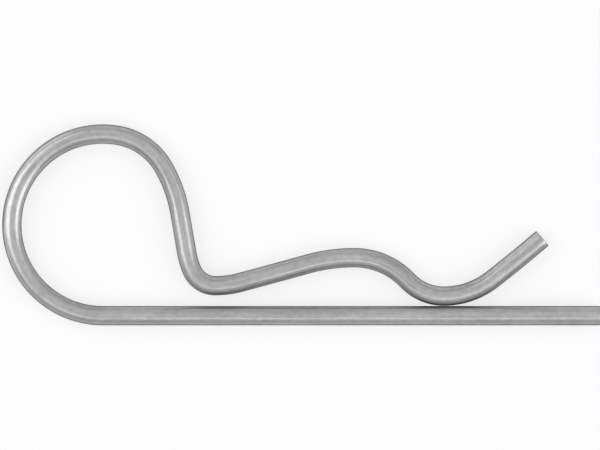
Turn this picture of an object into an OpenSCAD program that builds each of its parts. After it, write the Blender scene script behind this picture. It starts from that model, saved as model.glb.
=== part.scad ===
// Hitch R clip: one length of round spring wire, bent flat into a straight leg,
// an open spring loop and a waved arm that snaps over a hitch pin.
// The clip lies on its side with the wire resting on z = 0 and the leg along +X.
// Radii run to the middle of the wire. Slopes are measured from the leg, in degrees.

/* [Wire] */
// Diameter of the round wire
wire_d = 4; // [2.5:0.1:6]
// Bevel that dressing leaves round each cut end
end_bevel = 0.2; // [0.1:0.05:0.6]
// Slope that the neck and the ramp still gain along their length, as spring wire never lies dead straight
bow = 0.5; // [0.2:0.1:2]

/* [Leg] */
// How far the leg's end stands out past the middle of the arm's tip
leg_past_tip = 12; // [3:0.1:60]

/* [Spring loop] */
// Clear diameter inside the loop
loop_d = 33.6; // [28:0.1:60]
// Slope past the loop's top at which it tightens into the shoulder
loop_end = 9.5; // [1:0.5:25]
// Radius of the shoulder, which turns the arm back towards the leg
shoulder_r = 13.5; // [8:0.5:20]
// Slope at which the shoulder opens out again
shoulder_end = 60; // [40:1:70]
// Radius that eases the shoulder into the neck
neck_r = 28.5; // [12:0.5:40]
// Slope at the top of the long neck
neck_slope = 80; // [72:0.5:87]

/* [Throat] */
// Gap between the arm and the leg at the throat
throat_gap = 2.2; // [0.5:0.1:5]
// Radius that eases the neck into the throat
throat_in_r = 16.5; // [8:0.5:25]
// Slope at which the throat's tight bend starts
throat_slope = 66.5; // [40:0.5:71]
// Radius of the tight bend
throat_r = 5.2; // [3.5:0.1:9]
// Radius that opens the throat into the ramp
throat_out_r = 20; // [5:0.5:40]
// Slope at the foot of the ramp, which rises to the crest
ramp_slope = 15; // [8:0.5:23]

/* [Pin seat] */
// Diameter of the hitch pin that the crest closes over
pin_d = 20; // [17:0.1:30]
// Radius of the crest on the ramp's side
crest_in_r = 36.5; // [15:0.5:60]
// Radius of the crest on the tip's side
crest_out_r = 15.1; // [8:0.1:25]

/* [Dip and tip] */
// Gap left between the dip and the leg when the clip is empty
dip_gap = 0.05; // [0.05:0.05:2]
// Radius of the dip on the crest's side
dip_in_r = 10.4; // [6:0.1:25]
// Radius of the dip on the tip's side
dip_out_r = 16.2; // [6:0.1:25]
// Slope at the foot of the flared tip
tip_slope = 38; // [25:0.1:50]
// Slope that the flared tip still gains along its length
tip_bow = 2.5; // [1:0.5:10]
// Length of the flared tip
tip_l = 13.5; // [6:0.1:30]

/* [Hidden] */
$fn = 96;

LEVEL = 0;
QUARTER_TURN = 90;
HALF_TURN = 180;

loop_r = (loop_d + wire_d) / 2;

// Heights of the wire's middle over the leg's middle at the level points of the arm
throat_h = wire_d + throat_gap;
crest_h = (pin_d + wire_d) / 2;
dip_h = wire_d + dip_gap;

// Height gained along a bend between two slopes
function climb(r, low, high) = r * (cos(low) - cos(high));

// Neck and ramp are very open bends, as long as the height left between their neighbours asks for
neck_foot_slope = neck_slope + bow;
neck_top_h = 2 * loop_r - climb(loop_r, LEVEL, loop_end)
    - climb(shoulder_r, loop_end, shoulder_end) - climb(neck_r, shoulder_end, neck_slope);
neck_foot_h = throat_h + climb(throat_r, LEVEL, throat_slope)
    + climb(throat_in_r, throat_slope, neck_foot_slope);
neck_bow_r = (neck_top_h - neck_foot_h) / climb(1, neck_slope, neck_foot_slope);

ramp_top_slope = ramp_slope + bow;
ramp_foot_h = throat_h + climb(throat_out_r, LEVEL, ramp_slope);
ramp_top_h = crest_h - climb(crest_in_r, LEVEL, ramp_top_slope);
ramp_bow_r = (ramp_top_h - ramp_foot_h) / climb(1, ramp_slope, ramp_top_slope);

// Crest and dip meet at the slope that spans their two heights, kept to a thousandth of a degree
SLOPE_PARTS = 1000;
fall_slope = round(acos(1 - (crest_h - dip_h) / (crest_out_r + dip_in_r)) * SLOPE_PARTS) / SLOPE_PARTS;

tip_end_slope = tip_slope + tip_bow;
tip_bow_r = tip_l * HALF_TURN / (tip_bow * PI);

// The arm in the order it is bent: [radius, heading at the end of the bend]
ARM = [
    [loop_r, -loop_end],
    [shoulder_r, -shoulder_end],
    [neck_r, -neck_slope],
    [neck_bow_r, -neck_foot_slope],
    [throat_in_r, -throat_slope],
    [throat_r, LEVEL],
    [throat_out_r, ramp_slope],
    [ramp_bow_r, ramp_top_slope],
    [crest_in_r, LEVEL],
    [crest_out_r, -fall_slope],
    [dip_in_r, LEVEL],
    [dip_out_r, tip_slope],
    [tip_bow_r, tip_end_slope]
];

// Bend i starts at place(i) with heading(i) and turns left (1) or right (-1) round centre(i);
// the first one leaves the leg's start backwards
function radius(i) = ARM[i][0];
function heading(i) = i == 0 ? HALF_TURN : ARM[i - 1][1];
function side(i) = sign(heading(i + 1) - heading(i));
function left_of(angle) = [-sin(angle), cos(angle)];
function centre(i) = place(i) + side(i) * radius(i) * left_of(heading(i));
function place(i) = i == 0 ? [0, 0] : centre(i - 1) - side(i - 1) * radius(i - 1) * left_of(heading(i));

tip_end = place(len(ARM));
leg_l = tip_end.x + leg_past_tip;

// The origin lies under the middle of the clip's length and width
middle = [(leg_l - loop_r - wire_d / 2) / 2, loop_r];

// Moves by hundredths of a millimetre first and by the small rest after that,
// so that the end faces of two bends lie exactly on each other
PLACE_PARTS = 100;
module exact_move(to) {
    near = [for (x = to) round(x * PLACE_PARTS) / PLACE_PARTS];
    translate(near) translate(to - near) children();
}

module bend(i) {
    low = min(heading(i), heading(i + 1));
    turn = abs(heading(i + 1) - heading(i));
    exact_move(centre(i))
        rotate_extrude(angle = turn, start = low - side(i) * QUARTER_TURN)
            exact_move([radius(i), 0]) circle(d = wire_d);
}

// Ring that takes the bevel off an end which lies at the origin and faces +X
module bevel_ring() {
    rim_r = wire_d / 2;
    rotate([0, QUARTER_TURN, 0]) rotate_extrude() polygon([
        [rim_r - 2 * end_bevel, end_bevel],
        [rim_r + end_bevel, -2 * end_bevel],
        [rim_r + end_bevel, end_bevel]
    ]);
}

module spring_clip() {
    color("silver") translate([-middle.x, -middle.y, wire_d / 2]) difference() {
        union() {
            rotate([0, QUARTER_TURN, 0]) cylinder(h = leg_l, d = wire_d);
            for (i = [0 : len(ARM) - 1]) bend(i);
        }
        translate([leg_l, 0, 0]) bevel_ring();
        translate(tip_end) rotate([0, 0, tip_end_slope]) bevel_ring();
    }
}

spring_clip();
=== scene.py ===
# %% [markdown]
# # A hitch R clip in plated spring wire
# The clip is one length of round spring wire. A straight leg goes through the cross hole of a hitch pin,
# a spring loop closes the back, and a waved arm snaps over the pin. The solid model is already packed, so
# this lesson dresses it: a finer wire, its drawn and plated finish, soft studio light and a camera that
# looks straight down on the clip as it lies.

# %% Load the frame
import math

import bmesh
import bpy
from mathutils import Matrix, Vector


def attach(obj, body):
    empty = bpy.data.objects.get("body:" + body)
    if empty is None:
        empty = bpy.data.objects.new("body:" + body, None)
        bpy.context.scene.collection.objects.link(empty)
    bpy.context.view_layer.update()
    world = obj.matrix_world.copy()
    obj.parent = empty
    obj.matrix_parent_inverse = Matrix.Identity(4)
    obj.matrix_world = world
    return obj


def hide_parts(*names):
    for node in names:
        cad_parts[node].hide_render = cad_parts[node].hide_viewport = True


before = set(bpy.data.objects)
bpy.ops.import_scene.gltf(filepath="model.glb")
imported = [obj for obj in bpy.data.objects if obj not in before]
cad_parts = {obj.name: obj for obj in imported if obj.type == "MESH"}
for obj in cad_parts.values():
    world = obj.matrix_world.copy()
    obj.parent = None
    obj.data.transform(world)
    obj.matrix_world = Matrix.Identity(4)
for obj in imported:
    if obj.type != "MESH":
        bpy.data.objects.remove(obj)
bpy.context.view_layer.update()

MM = 0.001


# %% [markdown]
# ## The bends
# The real clip is bent cold round a row of formers, so its middle line is a chain of arcs that run into each
# other with no kink. The line could be drawn by hand with Bezier handles, but a chain of arcs is what the
# bender makes, so the same few radii and slopes that shape the solid are written down here again, in
# millimetres and degrees. Radii run to the middle of the wire, and slopes are measured from the leg.

# %% Sizes of the wire, the loop and the neck
WIRE_D = 4.0
LEG_PAST_TIP = 12.0
LOOP_D = 33.6
LOOP_END = 9.5
SHOULDER_R = 13.5
SHOULDER_END = 60.0
NECK_R = 28.5
NECK_SLOPE = 80.0
# Slope that the neck and the ramp still gain along their length, as spring wire never lies dead straight
BOW = 0.5

loop_r = (LOOP_D + WIRE_D) / 2
print("wire", WIRE_D, "loop radius", loop_r)

# %% Sizes of the throat, the pin seat and the tip
THROAT_GAP = 2.2
THROAT_IN_R = 16.5
THROAT_SLOPE = 66.5
THROAT_R = 5.2
THROAT_OUT_R = 20.0
RAMP_SLOPE = 15.0
PIN_D = 20.0
CREST_IN_R = 36.5
CREST_OUT_R = 15.1
DIP_GAP = 0.05
DIP_IN_R = 10.4
DIP_OUT_R = 16.2
TIP_SLOPE = 38.0
TIP_BOW = 2.5
TIP_L = 13.5

# Heights of the wire's middle over the leg's middle at the level points of the arm
throat_h = WIRE_D + THROAT_GAP
crest_h = (PIN_D + WIRE_D) / 2
dip_h = WIRE_D + DIP_GAP
print("heights over the leg: throat", throat_h, "crest", crest_h, "dip", dip_h)


# %% Chain the bends
def climb(radius, low, high):
    """Height gained along a bend between two slopes."""
    return radius * (math.cos(math.radians(low)) - math.cos(math.radians(high)))


# The neck and the ramp are as long as the height left between their neighbours asks for
neck_foot = NECK_SLOPE + BOW
neck_rise = (2 * loop_r - climb(loop_r, 0, LOOP_END) - climb(SHOULDER_R, LOOP_END, SHOULDER_END)
             - climb(NECK_R, SHOULDER_END, NECK_SLOPE) - throat_h
             - climb(THROAT_R, 0, THROAT_SLOPE) - climb(THROAT_IN_R, THROAT_SLOPE, neck_foot))
ramp_top = RAMP_SLOPE + BOW
ramp_rise = crest_h - throat_h - climb(THROAT_OUT_R, 0, RAMP_SLOPE) - climb(CREST_IN_R, 0, ramp_top)
fall_slope = math.degrees(math.acos(1 - (crest_h - dip_h) / (CREST_OUT_R + DIP_IN_R)))

# Radius of each bend and the heading at its end, in the order the arm is bent
arm = [
    (loop_r, -LOOP_END),
    (SHOULDER_R, -SHOULDER_END),
    (NECK_R, -NECK_SLOPE),
    (neck_rise / climb(1, NECK_SLOPE, neck_foot), -neck_foot),
    (THROAT_IN_R, -THROAT_SLOPE),
    (THROAT_R, 0),
    (THROAT_OUT_R, RAMP_SLOPE),
    (ramp_rise / climb(1, RAMP_SLOPE, ramp_top), ramp_top),
    (CREST_IN_R, 0),
    (CREST_OUT_R, -fall_slope),
    (DIP_IN_R, 0),
    (DIP_OUT_R, TIP_SLOPE),
    (TIP_L / math.radians(TIP_BOW), TIP_SLOPE + TIP_BOW),
]
print("bends", len(arm), "slope between crest and dip", round(fall_slope, 2))

# %% [markdown]
# ## The middle line
# Each arc is cut into short steps, so that the wire looks round from close by. A Bezier curve could hold the
# arcs with fewer points, but plain points lie exactly where the solid has them. The line starts at the leg's
# free end and runs to the arm's tip, so the whole wire is one chain. The clip's middle is then moved over
# the origin, as in the solid.

# %% Walk along the bends
STEP = 0.4
BACKWARDS = 180.0


def left_of(heading):
    """Unit vector square to a heading, on its left."""
    angle = math.radians(heading)
    return Vector((-math.sin(angle), math.cos(angle)))


# The first bend leaves the leg's start backwards
arm_line = [Vector((0, 0))]
heading = BACKWARDS
for radius, end in arm:
    turn = end - heading
    side = 1 if turn > 0 else -1
    centre = arm_line[-1] + side * radius * left_of(heading)
    steps = math.ceil(radius * math.radians(abs(turn)) / STEP)
    for i in range(1, steps + 1):
        arm_line.append(centre - side * radius * left_of(heading + turn * i / steps))
    heading = end
print("points on the arm", len(arm_line))

# %% Add the leg and centre the clip
LEG_STEP = 1.0

leg_l = arm_line[-1].x + LEG_PAST_TIP
leg_steps = math.ceil(leg_l / LEG_STEP)
leg_line = [Vector((leg_l * (1 - i / leg_steps), 0)) for i in range(leg_steps)]
middle = Vector(((leg_l - loop_r - WIRE_D / 2) / 2, loop_r))
line = [point - middle for point in leg_line + arm_line]
print("points", len(line), "leg", round(leg_l, 2), "tip", [round(v, 2) for v in line[-1]])

# %% [markdown]
# ## The cut ends
# The wire is sheared to length and its rim is dressed, which leaves a small rounded bevel and a face that is
# a little crowned. A Bevel modifier could round the rim afterwards. It is simpler to let the wire itself grow
# thin over its last fifth of a millimetre: each end gets a few extra points, each with its share of the
# full radius.

# %% Dress the two ends
# Distance back from the end in millimetres, and the share of the wire's radius there
END_RINGS = [
    (0.0, 0.16), (0.003, 0.5), (0.009, 0.82), (0.015, 0.895),
    (0.032, 0.938), (0.062, 0.967), (0.11, 0.988), (0.2, 1.0),
]
# Points of the line that lie nearer to an end than this make way for the rings
END_REACH = 0.5


def dressed_end(end, neighbour):
    """Points of a cut end from its face inwards, each with its share of the radius."""
    inwards = (neighbour - end).normalized()
    return [(end + inwards * back, share) for back, share in END_RINGS]


def from_the_ends(point):
    """Distance from the nearer end of the wire."""
    return min((point - line[0]).length, (point - line[-1]).length)


body = [(point, 1.0) for point in line if from_the_ends(point) > END_REACH]
stations = dressed_end(line[0], line[1]) + body + dressed_end(line[-1], line[-2])[::-1]
print("stations", len(stations))

# %% [markdown]
# ## One small helper for nodes
# Both the wire's sweep and its finish are node trees. This helper adds a node, sets its options, and either
# fills an input or links it when the value is another node's output.


# %% Add a node
def add(tree, kind, inputs=None, **options):
    """A new node with its options set and its inputs filled or linked."""
    made = tree.nodes.new(kind)
    for name, value in options.items():
        setattr(made, name, value)
    for name, value in (inputs or {}).items():
        if isinstance(value, bpy.types.NodeSocket):
            tree.links.new(value, made.inputs[name])
        else:
            made.inputs[name].default_value = value
    return made


# %% [markdown]
# ## The finish: drawn spring steel with a thin zinc plating
# Spring wire is pulled cold through dies, which leaves fine straight lines along it. A few micrometres of
# bright zinc go over that, so the eye sees a satin grey metal: soft bands of light along every bend, fine
# lines that follow the wire, a small grain and a faint cloudiness where the plating took unevenly. The two
# sheared faces are duller, and their lines run across. A picture of brushed metal would not bend with the
# wire, so the pattern is made from noise that reads the place on the wire: two coordinates round the section
# and one along the length, all in millimetres.

# %% Names that the wire's points carry
# Place on the wire in millimetres, and share of the wire's full radius
PLACE = "wire_place"
SHARE = "radius_share"
print("each point carries", PLACE, "and", SHARE)


# %% Colours
def linear(hex_colour):
    """An sRGB hex colour as linear RGBA."""
    parts = [int(hex_colour[i:i + 2], 16) / 255 for i in (1, 3, 5)]
    return [v / 12.92 if v <= 0.04045 else ((v + 0.055) / 1.055) ** 2.4 for v in parts] + [1.0]


# %% Zinc-plated drawn spring steel
# Satin grey metal to the eye, which mirrors less towards the sides of the wire, where it is seen aslant
ASLANT_TINT = "#404040"

plated = bpy.data.materials.new("zinc_plated_drawn_spring_steel")
plated.use_nodes = True
zinc = plated.node_tree
metal = zinc.nodes["Principled BSDF"]
metal.inputs["Metallic"].default_value = 1.0
metal.inputs["Specular Tint"].default_value = linear(ASLANT_TINT)
print("finish", plated.name)

# %% Noise that follows the wire
# Sizes run across, across and along the wire, and layers is how many times a pattern gets finer. Real draw
# lines and crystals of zinc are too fine to show, so both are drawn coarser than they are.
PATTERNS = {
    "draw_lines": {"sizes_mm": (0.35, 0.35, 14.0), "layers": 2.0},
    "grain": {"sizes_mm": (0.9, 0.9, 1.3), "layers": 2.0},
    "clouds": {"sizes_mm": (3.0, 3.0, 8.0), "layers": 3.0},
    "shear_lines": {"sizes_mm": (0.25, 5.0, 5.0), "layers": 2.0},
}
# Share of its strength that each finer layer keeps
FINER = 0.55

place_on_wire = add(zinc, "ShaderNodeAttribute", attribute_name=PLACE).outputs["Vector"]
noise = {}
for name, pattern in PATTERNS.items():
    per_mm = [1 / size for size in pattern["sizes_mm"]]
    at = add(zinc, "ShaderNodeMapping", {"Vector": place_on_wire, "Scale": per_mm})
    drawn = add(zinc, "ShaderNodeTexNoise", {
        "Vector": at.outputs[0], "Scale": 1.0, "Detail": pattern["layers"], "Roughness": FINER})
    noise[name] = drawn.outputs["Fac"]
print("noise", list(noise))

# %% Two close greys
# Average of the grain, the clouds and the draw lines, and the grey that it gives
GREYS = {0.36: "#9E9E9E", 0.64: "#BBBBBB"}

patchy = add(zinc, "ShaderNodeMath", {0: noise["grain"], 1: noise["clouds"]}, operation="ADD")
patchy = add(zinc, "ShaderNodeMath", {0: patchy.outputs[0], 1: noise["draw_lines"]}, operation="ADD")
average = add(zinc, "ShaderNodeMath", {0: patchy.outputs[0], 1: 1 / 3}, operation="MULTIPLY")
tone = add(zinc, "ShaderNodeValToRGB", {"Fac": average.outputs[0]})
for stop, (position, grey) in zip(tone.color_ramp.elements, GREYS.items()):
    stop.position = position
    stop.color = linear(grey)
zinc.links.new(tone.outputs["Color"], metal.inputs["Base Color"])
print("greys", list(GREYS.values()))

# %% Satin sheen
# Share of the full radius at which the dressed rim ends and the sheared face begins
RIM_SHARE = 0.9
FACE_SHARE = 0.85
# Roughness of the drawn wall in the smoothest and the roughest clouds, and what a sheared face adds to it
SATIN = (0.28, 0.32)
FACE_DULLER = 0.12
# Middle range that a noise fills
NOISE_RANGE = (0.3, 0.7)

share_here = add(zinc, "ShaderNodeAttribute", attribute_name=SHARE).outputs["Fac"]
on_face = add(zinc, "ShaderNodeMapRange", {
    "Value": share_here, "From Min": RIM_SHARE, "From Max": FACE_SHARE,
    "To Min": 0.0, "To Max": 1.0}).outputs["Result"]
satin = add(zinc, "ShaderNodeMapRange", {
    "Value": noise["clouds"], "From Min": NOISE_RANGE[0], "From Max": NOISE_RANGE[1],
    "To Min": SATIN[0], "To Max": SATIN[1]}).outputs["Result"]
dull = add(zinc, "ShaderNodeMath", {0: on_face, 1: FACE_DULLER, 2: satin}, operation="MULTIPLY_ADD")
zinc.links.new(dull.outputs[0], metal.inputs["Roughness"])
print("roughness of the wall", SATIN, "and of a face", [round(v + FACE_DULLER, 2) for v in SATIN])

# %% Fine relief
# The lines run along the drawn wall and across the sheared faces
RELIEF_MM = 0.02
RELIEF_STRENGTH = 0.25

scored = add(zinc, "ShaderNodeMix", {
    "Factor": on_face, "A": noise["draw_lines"], "B": noise["shear_lines"]}, data_type="FLOAT")
relief = add(zinc, "ShaderNodeBump", {
    "Height": scored.outputs["Result"], "Strength": RELIEF_STRENGTH, "Distance": RELIEF_MM * MM})
zinc.links.new(relief.outputs["Normal"], metal.inputs["Normal"])
print("finish nodes", len(zinc.nodes))

# %% [markdown]
# ## Sweep the wire
# A round section that follows a path is what Geometry Nodes does well: the chain of points becomes a curve,
# a circle is drawn along it, and the ends are capped. A curve with a round bevel would do it too, but could
# not tell the finish where it is on the wire. The upright is held at +Z, so the section never twists.

# %% Inputs of the sweep
SWEEP_INPUTS = {"Path": "Geometry", "Wire diameter": "Float", "Sides": "Int", "Finish": "Material"}

sweep = bpy.data.node_groups.new("bent_wire", "GeometryNodeTree")
for name, kind in SWEEP_INPUTS.items():
    sweep.interface.new_socket(name=name, in_out="INPUT", socket_type="NodeSocket" + kind)
sweep.interface.new_socket(name="Wire", in_out="OUTPUT", socket_type="NodeSocketGeometry")
given = add(sweep, "NodeGroupInput").outputs
print("sweep inputs", list(SWEEP_INPUTS))

# %% The path and the round section
RING = "ring_place"
ALONG = "along_wire"

path = add(sweep, "GeometryNodeMeshToCurve", {"Mesh": given["Path"]})
upright = add(sweep, "GeometryNodeSetCurveNormal", {"Curve": path.outputs[0]}, mode="Z_UP")
run = add(sweep, "GeometryNodeSplineParameter").outputs["Length"]
measured = add(sweep, "GeometryNodeStoreNamedAttribute", {
    "Geometry": upright.outputs[0], "Name": ALONG, "Value": run}, data_type="FLOAT", domain="POINT")

half = add(sweep, "ShaderNodeMath", {0: given["Wire diameter"], 1: 0.5}, operation="MULTIPLY")
circle = add(sweep, "GeometryNodeCurvePrimitiveCircle", {
    "Resolution": given["Sides"], "Radius": half.outputs[0]}, mode="RADIUS")
around = add(sweep, "GeometryNodeInputPosition").outputs[0]
ring = add(sweep, "GeometryNodeStoreNamedAttribute", {
    "Geometry": circle.outputs[0], "Name": RING, "Value": around}, data_type="FLOAT_VECTOR", domain="POINT")
print("nodes for path and section", len(sweep.nodes))

# %% Draw the section along the path
share = add(sweep, "GeometryNodeInputNamedAttribute", {"Name": SHARE}, data_type="FLOAT").outputs[0]
skin = add(sweep, "GeometryNodeCurveToMesh", {
    "Curve": measured.outputs[0], "Profile Curve": ring.outputs[0], "Scale": share, "Fill Caps": True})
print("nodes with the skin", len(sweep.nodes))

# %% [markdown]
# ## Remember the place on the wire
# On the real wire the drawn lines follow every bend. A UV map could guide them, but its seam would cut them
# along the whole wire. So each point keeps its place on the round section, which shrinks at the dressed ends,
# and its distance along the wire, all in millimetres.

# %% Store the place and set the finish
round_it = add(sweep, "GeometryNodeInputNamedAttribute", {"Name": RING}, data_type="FLOAT_VECTOR")
along_it = add(sweep, "GeometryNodeInputNamedAttribute", {"Name": ALONG}, data_type="FLOAT")
shrunk = add(sweep, "ShaderNodeVectorMath", {0: round_it.outputs[0], "Scale": share}, operation="SCALE")
split = add(sweep, "ShaderNodeSeparateXYZ", {0: shrunk.outputs[0]})
joined = add(sweep, "ShaderNodeCombineXYZ", {
    0: split.outputs[0], 1: split.outputs[1], 2: along_it.outputs[0]})
in_mm = add(sweep, "ShaderNodeVectorMath", {0: joined.outputs[0], "Scale": 1 / MM}, operation="SCALE")
placed = add(sweep, "GeometryNodeStoreNamedAttribute", {
    "Geometry": skin.outputs[0], "Name": PLACE, "Value": in_mm.outputs[0]},
    data_type="FLOAT_VECTOR", domain="POINT")

plain = add(sweep, "GeometryNodeRealizeInstances", {"Geometry": placed.outputs[0]})
dressed = add(sweep, "GeometryNodeSetMaterial", {"Geometry": plain.outputs[0], "Material": given["Finish"]})
add(sweep, "NodeGroupOutput", {"Wire": dressed.outputs[0]})
print("sweep nodes", len(sweep.nodes))

# %% [markdown]
# ## From points to a plain mesh
# The chain of points goes into a mesh of loose edges, at half a wire over the floor, and the sweep runs on it
# as a modifier. Its result is then copied out as a plain mesh, so that nothing live is left on the piece.
# The walls are shaded smooth, and only the rim of each cut end keeps a crisp edge.

# %% Run the sweep
SIDES = 64

path_mesh = bpy.data.meshes.new("wire_path")
path_points = [(point.x * MM, point.y * MM, WIRE_D / 2 * MM) for point, _ in stations]
path_edges = [(i, i + 1) for i in range(len(stations) - 1)]
path_mesh.from_pydata(path_points, path_edges, [])
radius_shares = path_mesh.attributes.new(SHARE, "FLOAT", "POINT")
radius_shares.data.foreach_set("value", [radius_share for _, radius_share in stations])
wire = bpy.data.objects.new("spring_wire", path_mesh)
bpy.context.collection.objects.link(wire)

sweeping = wire.modifiers.new("sweep", "NODES")
sweeping.node_group = sweep
settings = {"Wire diameter": WIRE_D * MM, "Sides": SIDES, "Finish": plated}
for socket in sweep.interface.items_tree:
    if socket.in_out == "INPUT" and socket.name in settings:
        sweeping[socket.identifier] = settings[socket.name]
print("path points", len(path_points))

# %% Copy it out as a plain mesh
now = bpy.context.evaluated_depsgraph_get()
wire_mesh = bpy.data.meshes.new_from_object(
    wire.evaluated_get(now), preserve_all_data_layers=True, depsgraph=now)
wire.modifiers.remove(sweeping)
wire.data = wire_mesh
for spare in (RING, ALONG):
    wire_mesh.attributes.remove(wire_mesh.attributes[spare])
print("wire points", len(wire_mesh.vertices))

# %% Shade it and look it over
CRISP_EDGE = math.radians(35)

shell = bmesh.new()
shell.from_mesh(wire_mesh)
for face in shell.faces:
    face.smooth = True
for edge in shell.edges:
    edge.smooth = edge.calc_face_angle(0) < CRISP_EDGE
open_edges = sum(not edge.is_manifold for edge in shell.edges)
volume = shell.calc_volume(signed=True) / MM ** 3
print("wire faces", len(shell.faces), "open edges", open_edges, "volume in mm3", round(volume, 1))
shell.to_mesh(wire_mesh)
shell.free()

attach(wire, "root")
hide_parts("spring_clip")

# %% [markdown]
# ## Floor and backdrop
# The clip lies on a plain white sheet that fills the picture. The sheet could be made white by more light,
# but that would bleach the metal as well. So it is matt paper that takes the clip's soft shadow, and seven
# tenths of what the camera and the shiny wire see of it is a plain white glow, which lights nothing else.

# %% Lay the floor
FLOOR_HALF = 1.5

floor_mesh = bpy.data.meshes.new("floor")
floor_corners = [(-FLOOR_HALF, -FLOOR_HALF, 0), (FLOOR_HALF, -FLOOR_HALF, 0),
                 (FLOOR_HALF, FLOOR_HALF, 0), (-FLOOR_HALF, FLOOR_HALF, 0)]
floor_mesh.from_pydata(floor_corners, [], [(0, 1, 2, 3)])
floor = bpy.data.objects.new("floor", floor_mesh)
bpy.context.collection.objects.link(floor)
print("floor width in m", 2 * FLOOR_HALF)

# %% Matt white paper
# Uncoated paper scatters light evenly, so the eye sees no gloss on it
PAPER_WHITE = "#E6E6E6"
GLOW_SHARE = 0.7

paper = bpy.data.materials.new("matt_white_paper")
paper.use_nodes = True
sheet = paper.node_tree
matt = sheet.nodes["Principled BSDF"]
matt.inputs["Base Color"].default_value = linear(PAPER_WHITE)
matt.inputs["Roughness"].default_value = 1.0
matt.inputs["Specular IOR Level"].default_value = 0.0

ray = add(sheet, "ShaderNodeLightPath").outputs
seen = add(sheet, "ShaderNodeMath", {0: ray["Is Camera Ray"], 1: ray["Is Glossy Ray"]}, operation="ADD")
seen = add(sheet, "ShaderNodeMath", {0: seen.outputs[0], 1: ray["Is Transmission Ray"]}, operation="ADD")
lit = add(sheet, "ShaderNodeMath", {0: seen.outputs[0], 1: GLOW_SHARE}, operation="MULTIPLY")
glow = add(sheet, "ShaderNodeEmission", {"Color": linear("#FFFFFF"), "Strength": 1.0})
mixed = add(sheet, "ShaderNodeMixShader", {0: lit.outputs[0], 1: matt.outputs[0], 2: glow.outputs[0]})
sheet.links.new(mixed.outputs[0], sheet.nodes["Material Output"].inputs["Surface"])
floor_mesh.materials.append(paper)
print("floor", paper.name)

# %% [markdown]
# ## Soft studio light
# Round metal shows its surroundings as bands along its length, so the light is what draws the wire. A single
# lamp would leave most of it black. Here a pale room, brightest overhead, gives the even grey. Two wide soft
# boxes at the left and the right give the broad gleams, and three weak fills beside them let those gleams
# fade softly. Two narrow strips, on the left and in front, draw the fine lines, and two low cards lift the
# edges at the upper left and at the back.

# %% Light the room
# Brightness at the horizon, and what it gains up to overhead
HORIZON = 0.55
OVERHEAD_GAIN = 0.42

room = bpy.data.worlds.new("pale_room")
room.use_nodes = True
air = room.node_tree
looking = add(air, "ShaderNodeTexCoord").outputs["Generated"]
upwards = add(air, "ShaderNodeSeparateXYZ", {0: looking}).outputs["Z"]
bright = add(air, "ShaderNodeMath", {0: upwards, 1: OVERHEAD_GAIN, 2: HORIZON}, operation="MULTIPLY_ADD")
air.links.new(bright.outputs[0], air.nodes["Background"].inputs["Strength"])
air.nodes["Background"].inputs["Color"].default_value = linear("#FFFFFF")
bpy.context.scene.world = room
print("room", room.name)

# %% Set up the soft boxes
# Distance from the clip in metres
AWAY = 0.9
# Compass in degrees with 0 along the leg, slant in degrees from overhead, width and height in metres, and
# brightness, where 1 is plain white
SOFT_BOXES = {
    "left_box": (169, 60, 0.56, 0.76, 1.6),
    "right_box": (344, 60.5, 0.76, 0.64, 1.8),
    "left_strip": (167, 38, 1.6, 0.12, 1.2),
    "front_strip": (270, 36, 1.0, 0.08, 1.8),
    "low_card": (130, 86.5, 0.6, 0.1, 2.2),
    "left_fill": (136, 57, 0.4, 0.5, 0.35),
    "right_fill": (29, 64, 0.4, 0.5, 0.25),
    "back_card": (84, 80, 0.5, 0.14, 0.5),
    "front_fill": (320, 32, 0.3, 0.4, 0.3),
}

for name, (compass, slant, width, height, brightness) in SOFT_BOXES.items():
    lamp = bpy.data.lights.new(name, "AREA")
    lamp.shape = "RECTANGLE"
    lamp.size = width
    lamp.size_y = height
    # A lamp's watts go out over its face and over half a sphere, so this is what its brightness takes
    lamp.energy = brightness * math.pi * width * height
    soft_box = bpy.data.objects.new(name, lamp)
    bearing = math.radians(compass)
    lean = math.radians(slant)
    out = math.sin(lean)
    soft_box.location = AWAY * Vector((out * math.cos(bearing), out * math.sin(bearing), math.cos(lean)))
    soft_box.rotation_euler = soft_box.location.to_track_quat("Z", "Y").to_euler()
    bpy.context.collection.objects.link(soft_box)

# %% [markdown]
# ## The camera
# The picture shows the clip flat and without perspective. An orthographic camera could do that, but a real
# photograph is taken through a long lens from over a metre away, so this one is too. The width of the
# picture is worked out from the wire, which fills a known share of it.

# %% Look straight down
PICTURE_W_MM = 124.22
PICTURE_MIDDLE_MM = (-0.27, -0.03)
LENS = 300.0
SENSOR = 36.0

camera_data = bpy.data.cameras.new("camera")
camera_data.lens = LENS
camera_data.sensor_width = SENSOR
camera_data.clip_start = 0.01
camera_data.clip_end = 10.0
camera = bpy.data.objects.new("camera", camera_data)
camera_height_mm = PICTURE_W_MM * LENS / SENSOR + WIRE_D / 2
camera.location = Vector((*PICTURE_MIDDLE_MM, camera_height_mm)) * MM
bpy.context.collection.objects.link(camera)
bpy.context.scene.camera = camera
bpy.context.scene.view_settings.view_transform = "Standard"
print("camera height in mm", round(camera_height_mm, 1))
